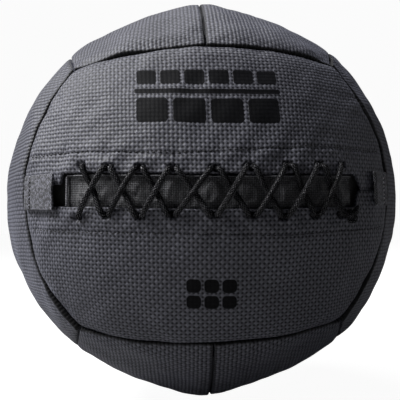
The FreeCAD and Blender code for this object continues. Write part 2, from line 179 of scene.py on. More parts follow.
def front_place(azimuth, reach, lift):
    """Points on the front: azimuth in degrees, reach above the opening's middle line and lift off the cover.

    Reach and lift are in mm. Between the lips the cover is bridged straight across.
    """
    azimuth, reach, lift = np.broadcast_arrays(*(np.asarray(value, float) for value in (azimuth, reach, lift)))
    bridge = 8.0
    share = np.clip((reach + bridge) / (2 * bridge), 0, 1)[..., None]
    points, normals = 0, 0
    for half, sign, weight in (("upper", 1, share), ("lower", -1, 1 - share)):
        u, v = front_uv(half, azimuth, np.maximum(sign * reach, bridge))
        points = points + weight * surface("front", half, u, v)
        normals = normals + weight * surface_normal("front", half, u, v)
    return points + unit(normals) * (lift * MM)[..., None]


def ripple(points, seed, wavelength, waves=20):
    """A smooth random field over space, between about -1 and 1."""
    rng = np.random.default_rng(seed)
    directions = unit(rng.normal(size=(waves, 3)))
    lengths = wavelength * MM * rng.uniform(0.7, 1.4, waves)
    phases = rng.uniform(0, 2 * math.pi, waves)
    field = 0
    for direction, length, phase in zip(directions, lengths, phases):
        field = field + np.sin(points @ direction * (2 * math.pi / length) + phase)
    return field / math.sqrt(waves)


def hills(points, seed):
    """The cover's slow unevenness, in mm."""
    return 0.75 * ripple(points, seed, 60) + 0.3 * ripple(points, seed + 1000, 22)


def edge_spaced(length, step, fine=(0.35, 0.8, 1.4, 2.1, 3.0, 4.2)):
    """Shares from 0 to 1 that crowd towards both ends, for an edge of that many millimetres."""
    inner = np.linspace(fine[-1] + step, length - fine[-1] - step, max(2, int((length - 2 * fine[-1]) / step)))
    marks = np.concatenate([[0], fine, inner, length - np.array(fine[::-1]), [length]])
    return marks / length


# -------------------- mesh helpers
def link(obj):
    bpy.context.scene.collection.objects.link(obj)
    return obj


def mesh_object(name, vertices, faces, uvs=None, floats=None, corner_uvs=None):
    """A smooth-shaded mesh. The uvs are pairs of mm, one per vertex or one per face corner. The floats are
    named values per vertex."""
    mesh = bpy.data.meshes.new(name)
    mesh.from_pydata(np.asarray(vertices).tolist(), [], faces if isinstance(faces, list) else faces.tolist())
    if uvs is not None:
        corners = np.empty(len(mesh.loops), np.int32)
        mesh.loops.foreach_get("vertex_index", corners)
        corner_uvs = np.asarray(uvs)[corners]
    if corner_uvs is not None:
        layer = mesh.uv_layers.new(name="weave")
        layer.data.foreach_set("uv", corner_uvs.astype(np.float32).ravel())
    for key, values in (floats or {}).items():
        attribute = mesh.attributes.new(key, "FLOAT", "POINT")
        attribute.data.foreach_set("value", np.asarray(values, np.float32).ravel())
    mesh.polygons.foreach_set("use_smooth", np.ones(len(mesh.polygons), bool))
    mesh.update()
    return link(bpy.data.objects.new(name, mesh))


def grid_faces(rows, columns, closed_rows=False, closed_columns=False, first=0):
    index = first + np.arange(rows * columns).reshape(rows, columns)
    if closed_rows:
        index = np.vstack([index, index[:1]])
    if closed_columns:
        index = np.hstack([index, index[:, :1]])
    corners = (index[:-1, :-1], index[1:, :-1], index[1:, 1:], index[:-1, 1:])
    return np.stack([corner.ravel() for corner in corners], axis=1)


def outward_faces(faces, vertices, centre):
    """The same faces, turned so that they face away from the centre on average."""
    quads = vertices[faces]
    normals = np.cross(quads[:, 2] - quads[:, 0], quads[:, 3] - quads[:, 1])
    facing = (normals * (quads.mean(1) - centre)).sum()
    return faces if facing > 0 else faces[:, ::-1]


def sheet(name, points, uvs, floats=None):
    """A single sheet from a grid of points, facing away from the ball's centre."""
    vertices = points.reshape(-1, 3)
    faces = outward_faces(grid_faces(*points.shape[:2]), vertices, np.zeros(3))
    floats = {key: value.ravel() for key, value in (floats or {}).items()}
    return mesh_object(name, vertices, faces, uvs.reshape(-1, 2), floats)


def slab_sheet(name, outer, inner, uvs):
    """A closed thin solid between an outer and an inner grid of points."""
    rows, columns = outer.shape[:2]
    vertices = np.concatenate([outer.reshape(-1, 3), inner.reshape(-1, 3)])
    top = outward_faces(grid_faces(rows, columns), vertices, np.zeros(3))
    flipped = (top == grid_faces(rows, columns)[:, ::-1]).all()
    bottom = top[:, ::-1] + rows * columns
    index = np.arange(rows * columns).reshape(rows, columns)
    rim = np.concatenate([index[:, 0], index[-1, 1:], index[-2::-1, -1], index[0, -2:0:-1]])
    after = np.roll(rim, -1)
    walls = np.stack([rim, after, after + rows * columns, rim + rows * columns], axis=1)
    if not flipped:
        walls = walls[:, ::-1]
    both = np.concatenate([uvs.reshape(-1, 2)] * 2)
    return mesh_object(name, vertices, np.concatenate([top, bottom, walls]), both)


def chaikin(points, times=3):
    """A polyline with its corners cut, keeping its two ends."""
    for _ in range(times):
        first, last = points[:1], points[-1:]
        cut = np.empty((2 * len(points) - 2, 3))
        cut[0::2] = 0.75 * points[:-1] + 0.25 * points[1:]
        cut[1::2] = 0.25 * points[:-1] + 0.75 * points[1:]
        points = np.concatenate([first, cut, last])
    return points


def resample(points, spacing):
    lengths = np.concatenate([[0], np.cumsum(np.linalg.norm(np.diff(points, axis=0), axis=1))])
    marks = np.linspace(0, lengths[-1], max(2, int(lengths[-1] / (spacing * MM))))
    return np.stack([np.interp(marks, lengths, points[:, axis]) for axis in range(3)], axis=1), marks / MM


def path_frames(points, up):
    """Directions square to a path at each of its points, carried along it without twist."""
    tangents = unit(np.gradient(points, axis=0))
    side = unit(np.cross(tangents[0], up))
    sides = [side]
    for tangent in tangents[1:]:
        side = unit(side - tangent * (side @ tangent))
        sides.append(side)
    sides = np.array(sides)
    return sides, np.cross(tangents, sides)


def braided_tube(points, radius, carriers=6, twist=2.3, relief=0.62, around=30, spacing=0.42):
    """Vertices, faces, end caps and uvs of a braided cord along a polyline. Its strands stand out by the
    relief, in mm."""
    points, marks = resample(points, spacing)
    sides, ups = path_frames(points, Z)
    angle = np.linspace(0, 2 * math.pi, around, endpoint=False)
    along, turn = marks[:, None], angle[None, :]
    strands = [np.sin(carriers / 2 * (turn + way * along / twist)) for way in (1, -1)]
    weave = np.abs(strands[0] * strands[1]) ** 0.6
    taper = np.minimum(1, np.minimum(along, marks[-1] - along) / radius + 0.35)
    reach = (radius - relief + relief * weave) * taper * MM
    ring = np.cos(turn)[..., None] * sides[:, None] + np.sin(turn)[..., None] * ups[:, None]
    vertices = points[:, None] + reach[..., None] * ring
    faces = grid_faces(len(points), around, closed_columns=True)
    caps = [np.arange(around), np.arange(around)[::-1] + (len(points) - 1) * around]
    uvs = np.stack(np.broadcast_arrays(along, turn * radius), axis=-1).reshape(-1, 2)
    face_uvs = uvs[faces]
    face_uvs.reshape(-1, around, 4, 2)[:, -1, 2:, 1] += 2 * math.pi * radius
    return vertices.reshape(-1, 3), faces[:, ::-1], caps, face_uvs[:, ::-1], uvs


def tube_object(name, paths, radius, **braid):
    """One object of several braided tubes."""
    vertices, faces, uvs, first = [], [], [], 0
    for path in paths:
        made, quads, caps, quad_uvs, point_uvs = braided_tube(path, radius, **braid)
        vertices.append(made)
        faces += (quads + first).tolist() + [(cap + first).tolist() for cap in caps]
        uvs += [quad_uvs.reshape(-1, 2)] + [point_uvs[cap] for cap in caps]
        first += len(made)
    return mesh_object(name, np.concatenate(vertices), faces, corner_uvs=np.concatenate(uvs))


# -------------------- materials
class Look:
    """A material's node tree, with short calls for the nodes that the materials share."""

    def __init__(self, name, **settings):
        self.material = bpy.data.materials.new(name)
        self.material.use_nodes = True
        self.tree = self.material.node_tree
        self.shader = next(node for node in self.tree.nodes if node.type == "BSDF_PRINCIPLED")
        self.shade(**settings)

    def shade(self, **settings):
        for key, value in settings.items():
            self.set(self.shader, key.replace("_", " "), value)

    def set(self, node, key, value):
        socket = node.inputs[key]
        if isinstance(value, bpy.types.NodeSocket):
            self.tree.links.new(value, socket)
        else:
            socket.default_value = (*value, 1) if socket.type == "RGBA" else value

    def add(self, kind, inputs=(), **settings):
        node = self.tree.nodes.new(kind)
        for key, value in settings.items():
            setattr(node, key, value)
        for key, value in dict(inputs).items():
            self.set(node, key, value)
        return node

    def math(self, operation, *values, clamp=False):
        return self.add("ShaderNodeMath", enumerate(values), operation=operation, use_clamp=clamp).outputs[0]

    def plus(self, first, second):
        return self.math("ADD", first, second)

    def minus(self, first, second):
        return self.math("SUBTRACT", first, second)

    def times(self, first, second, clamp=False):
        return self.math("MULTIPLY", first, second, clamp=clamp)

    def scaled(self, colour, factor):
        node = self.add("ShaderNodeVectorMath", {0: colour}, operation="SCALE")
        self.set(node, "Scale", factor)
        return node.outputs[0]

    def mix(self, share, first, second):
        node = self.add("ShaderNodeMix", {0: share, 6: first, 7: second}, data_type="RGBA")
        return node.outputs[2]

    def blend(self, share, first, second):
        return self.add("ShaderNodeMix", {0: share, 2: first, 3: second}).outputs[0]

    def noise(self, vector, scale, detail=2.0, rough=0.5):
        node = self.add("ShaderNodeTexNoise", {"Scale": scale, "Detail": detail, "Roughness": rough})
        self.set(node, "Vector", vector)
        return node.outputs[0]

    def spread(self, value, low, high, to_low=0.0, to_high=1.0):
        node = self.add("ShaderNodeMapRange", enumerate((value, low, high, to_low, to_high)), clamp=True)
        return node.outputs[0]

    def uv(self):
        place = self.add("ShaderNodeUVMap", uv_map="weave").outputs[0]
        separate = self.add("ShaderNodeSeparateXYZ", {0: place})
        return separate.outputs[0], separate.outputs[1]

    def place(self):
        return self.add("ShaderNodeTexCoord").outputs["Object"]

    def attribute(self, name):
        return self.add("ShaderNodeAttribute", attribute_name=name).outputs["Fac"]

    def bump(self, height, depth, strength=1.0):
        node = self.add("ShaderNodeBump", {"Strength": strength, "Distance": depth * MM, "Height": height})
        self.set(self.shader, "Normal", node.outputs[0])

    def box(self, x, y, centre, size, corner, soft=0.25):
        """1 inside a rounded rectangle, 0 outside."""
        reach = []
        for value, middle, side in zip((x, y), centre, size):
            off = self.math("ABSOLUTE", self.minus(value, middle))
            reach.append(self.math("MAXIMUM", self.minus(off, side / 2 - corner), 0))
        length = self.math("SQRT", self.plus(*(self.times(side, side) for side in reach)))
        return self.spread(length, corner - soft, corner + soft, 1, 0)


def lattice_height(look, x, y, pitch, shares=(0.5, 0.5)):
    """Coarse cloth whose two sets of threads cross in a square lattice, with pits between them. 0 to 1.

    The shares say how much of the relief repeats along x and along y. Unequal ones make ribs.
    """
    waves = []
    for value, share in zip((x, y), shares):
        wave = look.math("COSINE", look.times(value, 2 * math.pi / pitch))
        waves.append(look.times(look.plus(wave, 1), share / 2))
    over = look.times(*(look.math("COSINE", look.times(value, math.pi / pitch)) for value in (x, y)))
    return look.plus(look.plus(*waves), look.times(over, 0.07)), over


def weave_height(look, x, y, pitch, slant=0.8):
    """Plain weave: height 0 to 1, and whether the upper thread there is a warp one."""
    across = look.math("SINE", look.times(x, math.pi / pitch))
    along = look.math("SINE", look.times(y, math.pi / pitch))
    warp = look.spread(look.times(across, along), -0.12, 0.12)
    flat_across, flat_along = look.math("ABSOLUTE", across), look.math("ABSOLUTE", along)
    heights = []
    for thick, thin in ((flat_across, flat_along), (flat_along, flat_across)):
        broad, narrow = look.math("POWER", thick, 1 + slant), look.math("POWER", thin, 1 - slant)
        heights.append(look.times(broad, narrow))
    return look.blend(warp, heights[1], heights[0]), warp


def cover_material(name, prints=(), shares=(0.5, 0.5)):
    """Coarse woven cover cloth with a slight sheen, with painted shade in its seams and in its weave's pits.
    Prints are matt ink over the weave.
    """
    # pit_shade is painted shade: the weave's pits, and the grooves between the ribs, are coloured near-black
    # for the shade in them
    pit_shade, ink_colour = (0.010, 0.010, 0.013), (0.0042, 0.0042, 0.0045)
    low_thread, high_thread = (0.080, 0.081, 0.098), (0.140, 0.141, 0.168)
    look = Look(name, Specular_IOR_Level=0.3, Sheen_Weight=0.15, Sheen_Roughness=0.4)
    look.shade(Sheen_Tint=(0.75, 0.78, 1.0))
    x, y = look.uv()
    place = look.place()
    drift = look.times(look.minus(look.noise(place, 120, 1), 0.5), 1.2)
    height, over = lattice_height(look, look.plus(x, drift), look.plus(y, drift), WEAVE_PITCH, shares)
    thread = look.mix(look.spread(over, -0.6, 0.6), low_thread, high_thread)
    colour = look.mix(look.spread(height, 0.16, 0.52), pit_shade, thread)
    patchy = look.spread(look.noise(place, 22, 4, 0.6), 0.3, 0.7, 0.82, 1.12)
    # Painted shade: the colour darkens towards each seam, standing in for the shadow in the seam's gap
    seam_shade = look.spread(look.attribute("edge"), 0.1, 1.1, 0.05, 1.0)
    colour = look.scaled(colour, look.times(patchy, seam_shade))
    roughness = look.spread(look.noise(place, 300, 2), 0.3, 0.7, 0.5, 0.62)
    ink = None
    for centre, size, corner in prints:
        block = look.box(x, y, centre, size, corner)
        ink = block if ink is None else look.math("MAXIMUM", ink, block)
    if ink is not None:
        worn = look.times(ink, look.spread(height, 0.02, 0.3, 0.86, 0.98))
        colour = look.mix(worn, colour, ink_colour)
        roughness = look.blend(worn, roughness, 0.6)
        look.shade(Specular_IOR_Level=look.blend(worn, 0.3, 0.05))
        height = look.blend(look.times(ink, 0.7), height, 0.6)
    look.shade(Base_Color=colour, Roughness=roughness)
    look.bump(height, 0.5)
    return look.material


def fine_cloth(name, light, dark, pitch, depth):
    look = Look(name, Sheen_Weight=0.2, Roughness=0.6)
    x, y = look.uv()
    height, warp = weave_height(look, x, y, pitch)
    weft_colour = tuple(part * 0.7 for part in light)
    colour = look.mix(look.spread(height, 0.1, 0.8), dark, look.mix(warp, weft_colour, light))
    patchy = look.spread(look.noise(look.place(), 60, 3, 0.6), 0.3, 0.7, 0.0, 1.0)
    look.shade(Base_Color=look.mix(look.times(patchy, 0.35), colour, dark))
    look.bump(height, depth)
    return look.material


def webbing_material(name):
    """Webbing with a herringbone twill: slanted ribs that change sides, with dark gaps between them."""
    gap, thread = (0.006, 0.006, 0.008), (0.19, 0.192, 0.235)
    look = Look(name, Roughness=0.6, Sheen_Weight=0.1)
    x, y = look.uv()
    place = look.place()
    wander = look.times(look.minus(look.noise(place, 500, 2), 0.5), 0.9)
    chevron = look.math("PINGPONG", look.plus(y, wander), 1.3)
    rib = look.math("ABSOLUTE", look.math("SINE", look.times(look.plus(x, chevron), math.pi / 2.1)))
    row = look.math("ABSOLUTE", look.math("SINE", look.times(y, math.pi / 2.6)))
    height = look.times(rib, look.spread(row, 0, 0.7, 0.75, 1))
    fleck = look.spread(look.noise(place, 480, 2), 0.42, 0.58, 0.15, 1.0)
    look.shade(Base_Color=look.mix(look.times(look.spread(height, 0.2, 0.7), fleck), gap, thread))
    look.bump(height, 0.3)
    return look.material


def cord_material(name, light, dark, rough, radius=2.0, carriers=6, twist=2.3):
    """Braided cord: black in the grooves between its strands, with short light fibres along them that are
    painted highlight, glints on the black cord.
    """
    look = Look(name, Roughness=rough)
    x, y = look.uv()
    across = look.times(y, carriers / 2 / radius)
    forward = look.times(x, carriers / 2 / twist)
    strands = [look.math("SINE", look.math(way, across, forward)) for way in ("ADD", "SUBTRACT")]
    height = look.math("POWER", look.math("ABSOLUTE", look.times(*strands)), 0.6)
    slanted = {0: look.plus(x, y), 1: look.times(x, 4.0)}
    fibre = look.noise(look.add("ShaderNodeCombineXYZ", slanted).outputs[0], 1.6, 2)
    # Painted highlight: the light colour along the strands stands in for glints on a black cord, which also get
    # more specular
    bright = look.spread(look.spread(fibre, 0.53, 0.68), 0, 1, 0.035, 1)
    shine = look.times(look.spread(height, 0.3, 0.85), bright)
    look.shade(Base_Color=look.mix(shine, dark, light), Specular_IOR_Level=look.spread(shine, 0, 1, 0.02, 0.8))
    look.bump(height, 0.12)
    return look.material


def thread_material(name, colour):
    """Twisted sewing thread, too fine to show its own twist except as a mottle."""
    look = Look(name, Roughness=0.45)
    mottle = look.spread(look.noise(look.place(), 900, 2), 0.35, 0.65, 0.45, 1.2)
    look.shade(Base_Color=look.scaled(colour, mottle))
    look.bump(mottle, 0.08)
    return look.material


def lumpy_material(name, light, dark, scale, depth, cells=False):
    """Foam, fibre and grit: a noise or cell pattern in space."""
    look = Look(name, Roughness=0.85)
    place = look.place()
    if cells:
        node = look.add("ShaderNodeTexVoronoi", {"Scale": scale, "Vector": place})
        height = look.spread(node.outputs["Distance"], 0.0, 0.7, 1.0, 0.0)
    else:
        height = look.noise(place, scale, 6, 0.65)
    tone = look.spread(look.noise(place, scale / 9, 3), 0.3, 0.7, 0.5, 1.2)
    look.shade(Base_Color=look.mix(look.times(height, tone), dark, light))
    look.bump(height, depth)
    return look.material


def crossed_material(name, light, dark, pitch, depth):
    """A plain inner cloth whose weave follows space, for solids without a map."""
    look = Look(name, Roughness=0.75)
    places = look.add("ShaderNodeSeparateXYZ", {0: look.place()}).outputs
    waves = [look.math("SINE", look.times(place, math.pi / (pitch * MM))) for place in places]
    height = look.math("ABSOLUTE", look.times(look.plus(waves[0], waves[1]), waves[2]))
    fuzz = look.noise(look.place(), 500, 3)
    look.shade(Base_Color=look.mix(look.times(height, fuzz, clamp=True), dark, light))
    look.bump(height, depth)
    return look.material


# -------------------- the panels
def along_knots(azimuth, knots):
    """A smooth curve through a few knots of (azimuth, value)."""
    places, values = np.array(knots, float).T
    azimuth = np.asarray(azimuth, float)
    index = np.clip(np.searchsorted(places, azimuth) - 1, 0, len(places) - 2)
    share = smooth((azimuth - places[index]) / (places[index + 1] - places[index]))
    return values[index] + share * (values[index + 1] - values[index])


def lip_reach(half, azimuth):
    """How far each lip stands from the opening's middle line, in mm. The opening closes under the two tabs."""
    if half == "upper":
        left = 0.70 * smooth(azimuth, -39.3, -38.0) + 0.30 * smooth(azimuth, -48.0, -43.0)
    else:
        left = smooth(azimuth, -49.0, -44.5)
    right = 1 - smooth(azimuth, 38.0, 40.8)
    wave = 0.3 * np.sin(np.radians(azimuth) * 21 + (0.4 if half == "upper" else 1.9))
    return 0.15 + (LIPS[half] - 0.15 + wave) * left * right


def lace_runs():
    """The lace's straight runs from left to right, each from (azimuth, reach) to (azimuth, reach)."""
    upper = HOLES["upper"]
    lower = [(azimuth, -reach) for azimuth, reach in HOLES["lower"]]
    return list(zip(lower, upper[1:])) + list(zip(upper, lower[1:]))


def segment_distance(azimuth, reach, start, end):
    """Distance in mm on the front's face from points to a run of lace."""
    px, py = azimuth * ARC_MM, reach
    ax, ay, bx, by = start[0] * ARC_MM, start[1], end[0] * ARC_MM, end[1]
    share = np.clip(((px - ax) * (bx - ax) + (py - ay) * (by - ay)) / ((bx - ax) ** 2 + (by - ay) ** 2), 0, 1)
    return np.hypot(px - ax - share * (bx - ax), py - ay - share * (by - ay))


def hole_relief(half, azimuth, reach):
    """Dimples at the lace holes and the puckers that the lace pulls up round them, in mm."""
    lift = np.zeros_like(azimuth)
    rng = np.random.default_rng(11 if half == "upper" else 12)
    for hole, hole_reach in HOLES[half]:
        along = (azimuth - hole) * ARC_MM
        across = reach - hole_reach
        strength = rng.uniform(0.8, 1.3)
        dip = np.exp(-(along / 3.6) ** 4 - (across / 2.0) ** 4)
        collar = np.exp(-((np.hypot(along / 1.3, across) - 3.9) / 1.4) ** 2)
        behind = np.exp(-(along / 4.5) ** 2 - ((across - 5.0) / 3.0) ** 2)
        beside = np.exp(-((np.abs(along) - 7.0) / 3.2) ** 2 - ((across + 0.5) / 4.5) ** 2)
        pull = np.exp(-(along / 4.0) ** 2 - ((across - 8) / 6.0) ** 2) * np.cos(along * 1.15 + strength)
        lift += -4.8 * dip + 0.4 * strength * collar + 0.7 * strength * behind + 0.35 * beside + 0.25 * pull
    return lift


def front_relief(half, azimuth, reach, points):
    """Hem, stitch groove, lace holes and wrinkles of a front half panel, in mm."""
    line = along_knots(azimuth, STITCH_LINES[half])
    span = 1 - smooth(np.abs(azimuth), 50.0, 54.5)
    hem = 0.18 * (1 - smooth(reach, line - 0.6, line + 1.6))
    groove = -0.55 * np.exp(-((reach - line) / 0.8) ** 2)
    puff = 0.22 * np.exp(-((np.abs(reach - line) - 3.8) / 2.4) ** 2)
    beat = np.sin(np.radians(azimuth) * 42 + 3 * ripple(points, 31, 60))
    gather = 0.12 * beat * np.exp(-((reach - line) / 5.0) ** 2)
    near_lip = np.exp(-np.maximum(reach - 20, 0) / 6)
    soft = 0.55 * ripple(points, 7 if half == "upper" else 8, 19) * near_lip
    return span * (hem + groove + puff + gather + soft) + span * hole_relief(half, azimuth, reach)


def panel_range(face, half, us):
    """Where v starts and stops in each column of a half panel: at its hem or seam, and by its outer seam."""
    if face != "front":
        return np.full(len(us), SEAM_GAP / PANEL_DEPTH), np.full(len(us), 1 - SEAM_GAP / PANEL_DEPTH)
    column = np.interp(us, COLUMN_U, COLUMN_LENGTH[half])
    start = (lip_reach(half, (us - 0.5) * FRONT_SPAN) + HEM_ROLL) / column
    return start, 1 - SEAM_GAP / column


def panel_grid(face, half, along, across):
    """Points, u, v and outward directions of a half panel over shares 0 to 1 of its length and of its depth."""
    us = SEAM_GAP / PANEL_LENGTH + (1 - 2 * SEAM_GAP / PANEL_LENGTH) * along
    start, stop = panel_range(face, half, us)
    vs = start[:, None] + (stop - start)[:, None] * across[None, :]
    uu = np.broadcast_to(us[:, None], vs.shape)
    points = surface(face, half, uu, vs)
    return points, us, vs, outward_directions(points)


def outward_directions(points):
    normals = unit(np.cross(np.gradient(points, axis=0), np.gradient(points, axis=1)))
    return normals * np.sign((normals * points).sum(2))[..., None]


CLOTH = {"quality": 6, "mass": 0.15, "tension_stiffness": 20, "compression_stiffness": 20,
         "shear_stiffness": 8, "bending_stiffness": 0.2, "use_pressure": True, "uniform_pressure_force": 4,
         "vertex_group_mass": "held"}


def inflate(sheets, steps=20):
    """Lets padded cloth settle under the filling's pressure, and gives each point's rise in mm.

    Each sheet is a name, a grid of points, a mask of the points that are sewn down and how much longer than
    its place the cloth is.
    """
    scene = bpy.context.scene
    objects = []
    for name, points, held, growth in sheets:
        vertices = points.reshape(-1, 3)
        faces = outward_faces(grid_faces(*points.shape[:2]), vertices, np.zeros(3))
        cloth_object = mesh_object(f"{name}_settling", vertices, faces)
        cloth_object.vertex_groups.new(name="held").add(np.flatnonzero(held).tolist(), 1.0, "REPLACE")
        cloth = cloth_object.modifiers.new("cloth", "CLOTH")
        for key, value in CLOTH.items():
            setattr(cloth.settings, key, value)
        cloth.settings.shrink_min = -growth
        cloth.settings.effector_weights.gravity = 0
        cloth.point_cache.frame_start, cloth.point_cache.frame_end = 1, steps
        objects.append(cloth_object)
    for step in range(1, steps + 1):
        scene.frame_set(step)
    graph = bpy.context.evaluated_depsgraph_get()
    rises = []
    for (_, points, _, _), cloth_object in zip(sheets, objects):
        settled = cloth_object.evaluated_get(graph).data
        places = np.empty(len(settled.vertices) * 3, np.float32)
        settled.vertices.foreach_get("co", places)
        rises.append(((places.reshape(points.shape) - points) * outward_directions(points)).sum(2) / MM)
    for cloth_object in objects:
        bpy.data.objects.remove(cloth_object)
    scene.frame_set(1)
    return rises


def blur(field, passes):
    for _ in range(passes):
        for axis in (0, 1):
            padded = np.pad(field, [(1, 1) if axis == side else (0, 0) for side in (0, 1)], mode="edge")
            padded = np.moveaxis(padded, axis, 0)
            field = np.moveaxis(0.25 * padded[:-2] + 0.5 * padded[1:-1] + 0.25 * padded[2:], 0, axis)
    return field


def refine(field, times=4):
    """The same field on a grid that many times finer, smoothed over the old grid's cells."""
    for _ in (0, 1):
        places = np.linspace(0, len(field) - 1, (len(field) - 1) * times + 1)
        low = np.minimum(places.astype(int), len(field) - 2)
        share = (places - low)[:, None]
        field = (field[low] * (1 - share) + field[low + 1] * share).T
    return blur(field, times)


def sample(field, along, across):
    """A field's values at shares 0 to 1 of its two directions."""
    spots = []
    for share, count in ((along, field.shape[0]), (across, field.shape[1])):
        place = np.clip(share, 0, 1) * (count - 1)
        low = np.minimum(place.astype(int), count - 2)
        spots.append((low, place - low))
    (i, a), (j, b) = spots
    return (field[i, j] * (1 - a) * (1 - b) + field[i + 1, j] * a * (1 - b)
            + field[i, j + 1] * (1 - a) * b + field[i + 1, j + 1] * a * b)


def lace_distance(azimuth, reach):
    """Distance in mm along the front from each point to the nearest run of lace."""
    runs = [segment_distance(azimuth, reach, start, end) for start, end in lace_runs()]
    return np.minimum.reduce(runs)


def settle_cloth():
    """The half panels' gathers and the tongue's pillows between the laces, in mm, from one simulation."""
    sheets = []
    for face, (_, _, halves, _) in FACES.items():
        for half in halves:
            counts = (96, 28) if face == "front" else (60, 21)
            points, us, vs, _ = panel_grid(face, half, *(np.linspace(0, 1, count) for count in counts))
            held = np.zeros(vs.shape, bool)
            held[[0, -1]], held[:, [0, -1]] = True, True
            if face == "front":
                azimuth = (us[:, None] - 0.5) * FRONT_SPAN + 0 * vs
                reach = vs * np.interp(us, COLUMN_U, COLUMN_LENGTH[half])[:, None]
                for hole, hole_reach in HOLES[half]:
                    held |= np.hypot((azimuth - hole) * ARC_MM, reach - hole_reach) < 2.8
            sheets.append((f"{face}_{half}", points, held, 0.014))
    azimuth, reach = np.meshgrid(np.linspace(*TONGUE_ENDS, 128), np.linspace(*TONGUE_EDGES, 15), indexing="ij")
    held = lace_distance(azimuth, reach) < 1.0
    held[[0, -1]], held[:, [0, -1]] = True, True
    held |= azimuth < -34.5
    sheets.append(("tongue", front_place(azimuth, reach, -5.0), held, 0.09))
    rises = {sheet[0]: rise for sheet, rise in zip(sheets, inflate(sheets))}
    for name, rise in rises.items():
        if name != "tongue":
            rise = np.clip(rise - blur(rise, 12), -1.3, 0.9)
        rises[name] = refine(rise)
    return rises


def front_shares():
    """Shares 0 to 1 across a front half panel, closer together by its hem and by its outer edge."""
    steps = [0.55] * 30 + [0.85] * 72 + [0.7, 0.6, 0.5, 0.4, 0.3, 0.3]
    share = np.concatenate([[0], np.cumsum(steps)])
    return share / share[-1]


def roll_hem(points, uvs, nearest, normals):
    """Adds a front half panel's rolled hem before its first row: from under the cloth round to its face."""
    up = normals[:, 0]
    inward = unit(points[:, 0] - points[:, 2])
    inward = unit(inward - up * (inward * up).sum(1)[:, None])
    base = points[:, 0] - up * HEM_ROLL * MM
    rows, maps, hem_shade_edges = [base - up * HEM_ROLL * MM - inward * 5 * MM], [uvs[:, 0] - [0, 9]], [0.0]
    for angle in np.radians([170, 150, 120, 90, 60, 30]):
        rows.append(base + HEM_ROLL * MM * (up * math.cos(angle) + inward * math.sin(angle)))
        maps.append(uvs[:, 0] - [0, angle * HEM_ROLL])
        # The rows under the roll get short edge distances, so the cover darkens them: painted shade under the
        # hem
        hem_shade_edges.append(2.0 if angle < 2 else 0.6)
    points = np.concatenate([np.stack(rows, axis=1), points], axis=1)
    uvs = np.concatenate([np.stack(maps, axis=1), uvs], axis=1)
    return points, uvs, np.concatenate([np.tile(hem_shade_edges, (len(nearest), 1)), nearest], axis=1)


def panel_points(face, half, step):
    """Grid of points, uvs in mm and edge distances of one half panel, with its seam edges rolled inwards."""
    front = face == "front"
    kind = FACES[face][3]
    along_share, share = edge_spaced(PANEL_LENGTH, step), edge_spaced(PANEL_DEPTH, step)
    if front:
        share = front_shares()
    points, us, vs, normals = panel_grid(face, half, along_share, share)
    if front:
        azimuth = (us - 0.5) * FRONT_SPAN
        column = np.interp(us, COLUMN_U, COLUMN_LENGTH[half])
        start = panel_range(face, half, us)[0]
    along_steps = np.linalg.norm(np.diff(points, axis=0), axis=2) / MM
    along = np.vstack([np.zeros(vs.shape[1]), np.cumsum(along_steps, axis=0)])
    across_steps = np.linalg.norm(np.diff(points, axis=1), axis=2) / MM
    across = np.hstack([np.zeros((len(us), 1)), np.cumsum(across_steps, axis=1)])
    from_start, from_end, from_outer = along, along[-1:] - along, across[:, -1:] - across
    if front:
        across = across + (start * column)[:, None]
    uvs = np.stack([along - along[-1:] / 2, across], axis=2)
    seed = 100 + 10 * list(FACES).index(face) + list(FACES[face][2]).index(half)
    edges = [from_start, from_end, from_outer] + ([] if front else [across])
    lift = hills(points, seed)
    lift += sample(SETTLED[f"{face}_{half}"], along_share[:, None] + 0 * vs, share[None, :] + 0 * vs)
    nearest = np.minimum.reduce(edges)
    drop = np.zeros_like(nearest)
    for number, distance in enumerate(edges):
        gap = np.clip(EDGE_ROLL - distance, 0, EDGE_ROLL)
        drop += EDGE_ROLL - np.sqrt(EDGE_ROLL ** 2 - gap ** 2)
        pull = ripple(points, seed + 50 + number, 9)
        lift += 0.12 * pull * np.exp(-distance / 8) * smooth(distance, 0, 3)
        ridge = {"side": 0.6, "top": 0.4, "front": -0.3}[kind] + 0 * distance
        if kind == "side" and number == 2:
            ridge += 0.7 * smooth(np.abs(us - 0.5), 0.18, 0.40)[:, None]
        elif front and number < 2:
            ridge -= 0.6 * smooth(share, 0.3, 0.7)[None, :]
        elif front:
            ridge -= 0.5 * smooth(np.abs(us - 0.5), 0.22, 0.38)[:, None]
        lift += ridge * np.exp(-(distance / 4.5) ** 2)
    if front:
        lift += front_relief(half, np.broadcast_to(azimuth[:, None], vs.shape), across, points)
        # The edge distance stays short by the hem too, so the cover darkens the lip a little: painted shade
        nearest = np.minimum(nearest, across - (start * column)[:, None] + 1.2)
    points = points + normals * (lift * MM)[..., None] - unit(points) * (drop * MM)[..., None]
    if front:
        points, uvs, nearest = roll_hem(points, uvs, nearest, normals)
    return add_skirts(points, uvs, nearest, front)


def add_skirts(points, uvs, nearest, front):
    """One more row round the seam edges that goes in under the neighbours, so that no gap shows in a seam."""
    pads = ((1, 1), (0 if front else 1, 1))
    points, uvs = (np.pad(field, pads + ((0, 0),), mode="edge") for field in (points, uvs))
    for skirt in ([] if front else [points[:, 0]]) + [points[:, -1], points[0], points[-1]]:
        skirt -= unit(skirt) * SKIRT_DEPTH
    return points, uvs, np.pad(nearest, pads, mode="edge")


def dress(piece, finish, slot, *nodes, body="ball"):
    """Gives a piece its material, its body and the design's nodes that it stands for. Its slot is not used."""
    piece.data.materials.append(finish)
    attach(piece, body)
    if nodes:
        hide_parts(*nodes)


